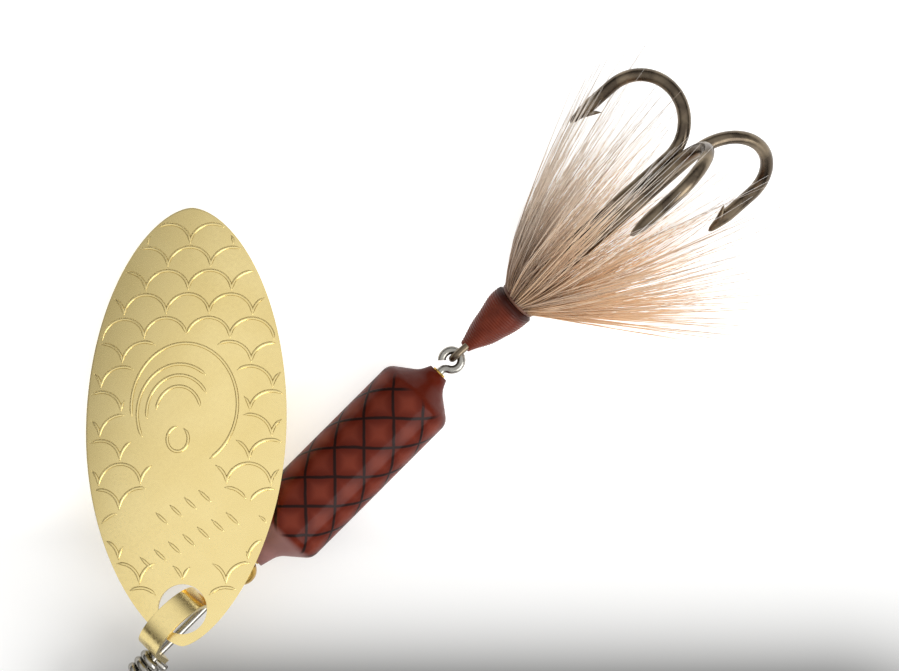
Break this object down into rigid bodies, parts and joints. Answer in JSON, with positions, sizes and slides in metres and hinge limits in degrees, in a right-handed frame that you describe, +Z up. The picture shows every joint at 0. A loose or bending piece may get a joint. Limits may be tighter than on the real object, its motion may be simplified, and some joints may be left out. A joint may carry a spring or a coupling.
{
  "type": "in-line spinner lure",
  "caption": "In-line spinner lure: an oval blade swings on a folded clevis that turns about a wire shaft, ahead of a netted torpedo body and a hackle-dressed treble hook.",
  "frame": {"origin": "on the table under the middle of the lure's bounding box, with the lure lying on its side as when put down", "axes": "+X along the shaft from the line tie to the hook, +Y to the side where the blade lies, +Z up from the table"},
  "size_m": [0.0524, 0.0314, 0.0179],
  "materials": {
    "steel_wire": "drawn steel wire, tarnished dark at the wrap",
    "gold_plate": "pale gold plate on brass sheet, polished, stamped with scales",
    "brass": "turned brass, polished",
    "body_paint": "brick red paint with dark netting under a clear gloss coat",
    "hook_bronze": "bronzed carbon steel, satin",
    "thread_lacquer": "brick red tying thread under lacquer",
    "quill": "brown feather stem",
    "hackle": "fine feather fibres, brown at the root and blonde at the tips"
  },
  "bodies": {
    "shaft": {"shaft_wire": "steel_wire"},
    "clevis": {"clevis": "gold_plate"},
    "blade": {"blade": "gold_plate"},
    "bead_front": {"bearing_bead_front": "brass"},
    "bead_rear": {"bearing_bead_rear": "brass"},
    "body": {"body_core_tube": "brass", "body_shell": "body_paint"},
    "hook": {"double_hook": "hook_bronze", "third_hook": "hook_bronze", "thread_head": "thread_lacquer", "hackle_quill": "quill", "hackle_fibres": "hackle"}
  },
  "joints": [
    {"name": "clevis_spin", "type": "hinge", "parent": "shaft", "child": "clevis", "pos_m": [-0.01853, -0.00236, 0.00247], "axis": [1, 0, 0], "continuous": true},
    {"name": "blade_swing", "type": "hinge", "parent": "clevis", "child": "blade", "pos_m": [-0.01853, -0.0018, 0.0047], "axis": [0, -0.9703, 0.2419], "range_deg": [0, 70]},
    {"name": "bead_front_spin", "type": "hinge", "parent": "shaft", "child": "bead_front", "pos_m": [-0.01538, -0.00236, 0.00247], "axis": [1, 0, 0], "continuous": true},
    {"name": "bead_rear_spin", "type": "hinge", "parent": "shaft", "child": "bead_rear", "pos_m": [-0.01363, -0.00236, 0.00247], "axis": [1, 0, 0], "continuous": true},
    {"name": "body_spin", "type": "hinge", "parent": "shaft", "child": "body", "pos_m": [-0.00486, -0.00236, 0.00247], "axis": [1, 0, 0], "continuous": true},
    {"name": "hook_swing", "type": "hinge", "parent": "shaft", "child": "hook", "pos_m": [0.00459, -0.00236, 0.00247], "axis": [0, -1, 0], "range_deg": [-75, 45]}
  ]
}
